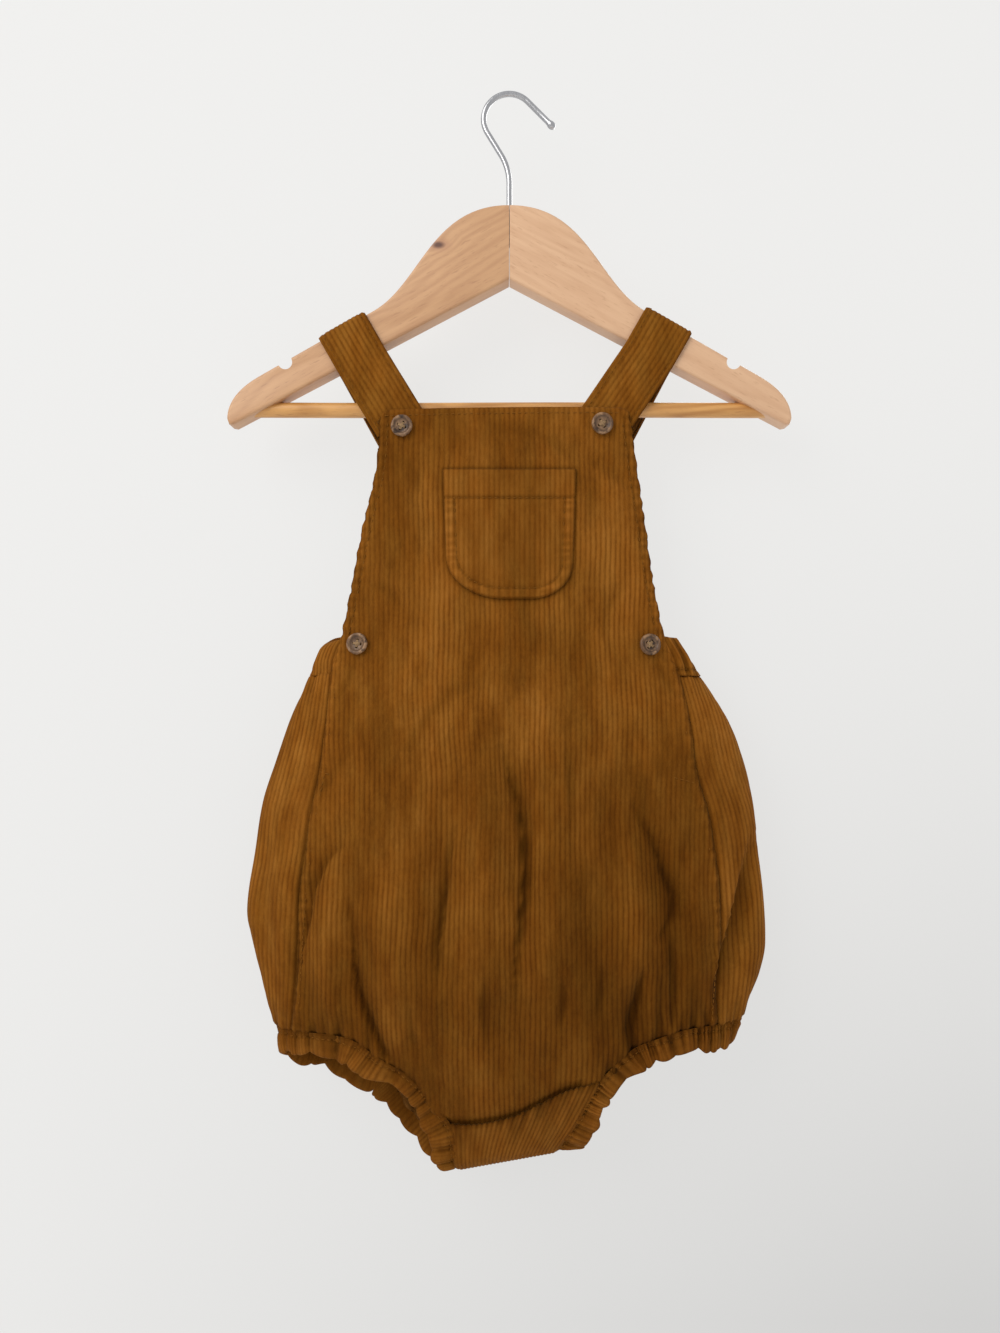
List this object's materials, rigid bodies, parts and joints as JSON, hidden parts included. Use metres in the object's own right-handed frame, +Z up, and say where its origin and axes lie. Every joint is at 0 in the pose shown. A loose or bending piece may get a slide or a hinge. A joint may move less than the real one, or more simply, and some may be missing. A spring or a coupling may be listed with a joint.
{
  "type": "baby romper hanging on a wooden clothes hanger",
  "caption": "Baby's bib romper in corduroy with crossed straps, chest pocket and gathered legs, hung flat on a wooden hanger with a trouser bar and wire hook.",
  "frame": {"origin": "the underside of the hook's crown, where a rail or a peg carries the hanger", "axes": "+Z up, +X to the right seen from the front, the front faces -Y"},
  "size_m": [0.3004, 0.0607, 0.5797],
  "materials": {
    "corduroy": "cotton corduroy, tobacco brown, vertical wales, soft pile sheen",
    "corduroy_band": "cotton corduroy, darker where it is doubled and gathered",
    "beech": "planed beech, clear satin lacquer",
    "bar_wood": "turned dowel, clear lacquer",
    "steel_wire": "bright zinc-plated wire",
    "horn_plastic": "mottled imitation horn"
  },
  "bodies": {
    "root": {"hook": "steel_wire", "hanger_arm_left": "beech", "hanger_arm_right": "beech", "hanger_bar": "bar_wood", "front_panel": "corduroy", "back_panel": "corduroy", "back_waistband": "corduroy", "strap_left": "corduroy", "strap_right": "corduroy", "chest_pocket": "corduroy", "placket_left": "corduroy", "placket_right": "corduroy", "crotch_band": "corduroy_band", "leg_band_left": "corduroy_band", "leg_band_right": "corduroy_band", "button_bib_left": "horn_plastic", "button_bib_right": "horn_plastic", "button_waist_left": "horn_plastic", "button_waist_right": "horn_plastic"}
  },
  "joints": []
}
